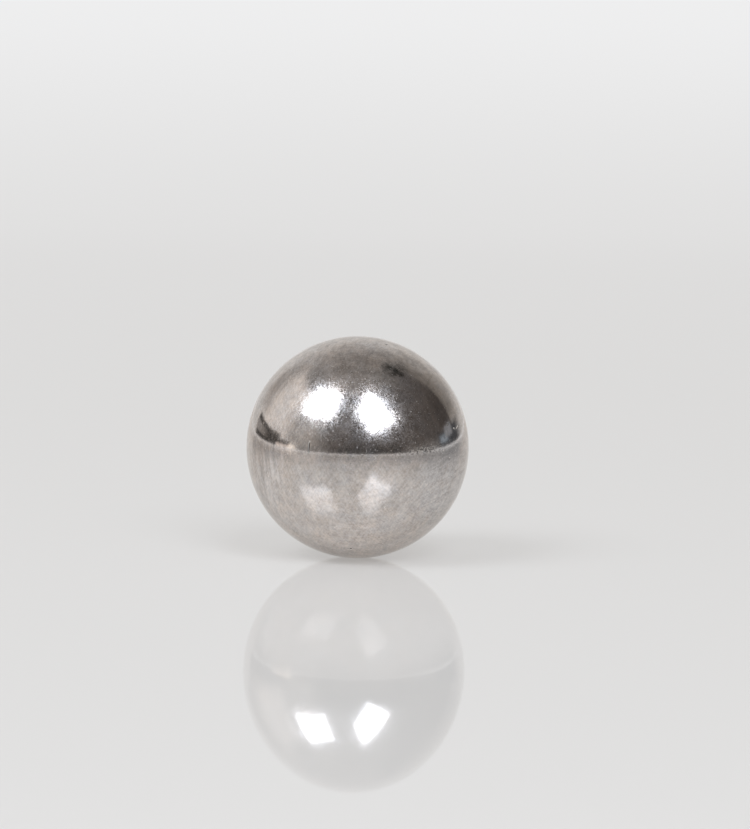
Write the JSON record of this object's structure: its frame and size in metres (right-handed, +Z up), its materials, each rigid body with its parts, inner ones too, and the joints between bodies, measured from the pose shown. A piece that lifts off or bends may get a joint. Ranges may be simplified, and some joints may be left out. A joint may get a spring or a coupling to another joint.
{
  "type": "steel ball",
  "caption": "Solid round steel ball with a bright lapped surface, for rolling in a race or seat, or for use as a gauge, valve or detent ball.",
  "frame": {"origin": "centre of the ball", "axes": "+Z up, opposite the way the ball presses into its seat; X and Y level, and every direction is alike on a plain ball"},
  "size_m": [0.01, 0.01, 0.01],
  "materials": {
    "steel": "polished"
  },
  "bodies": {
    "root": {"ball": "steel"}
  },
  "joints": []
}
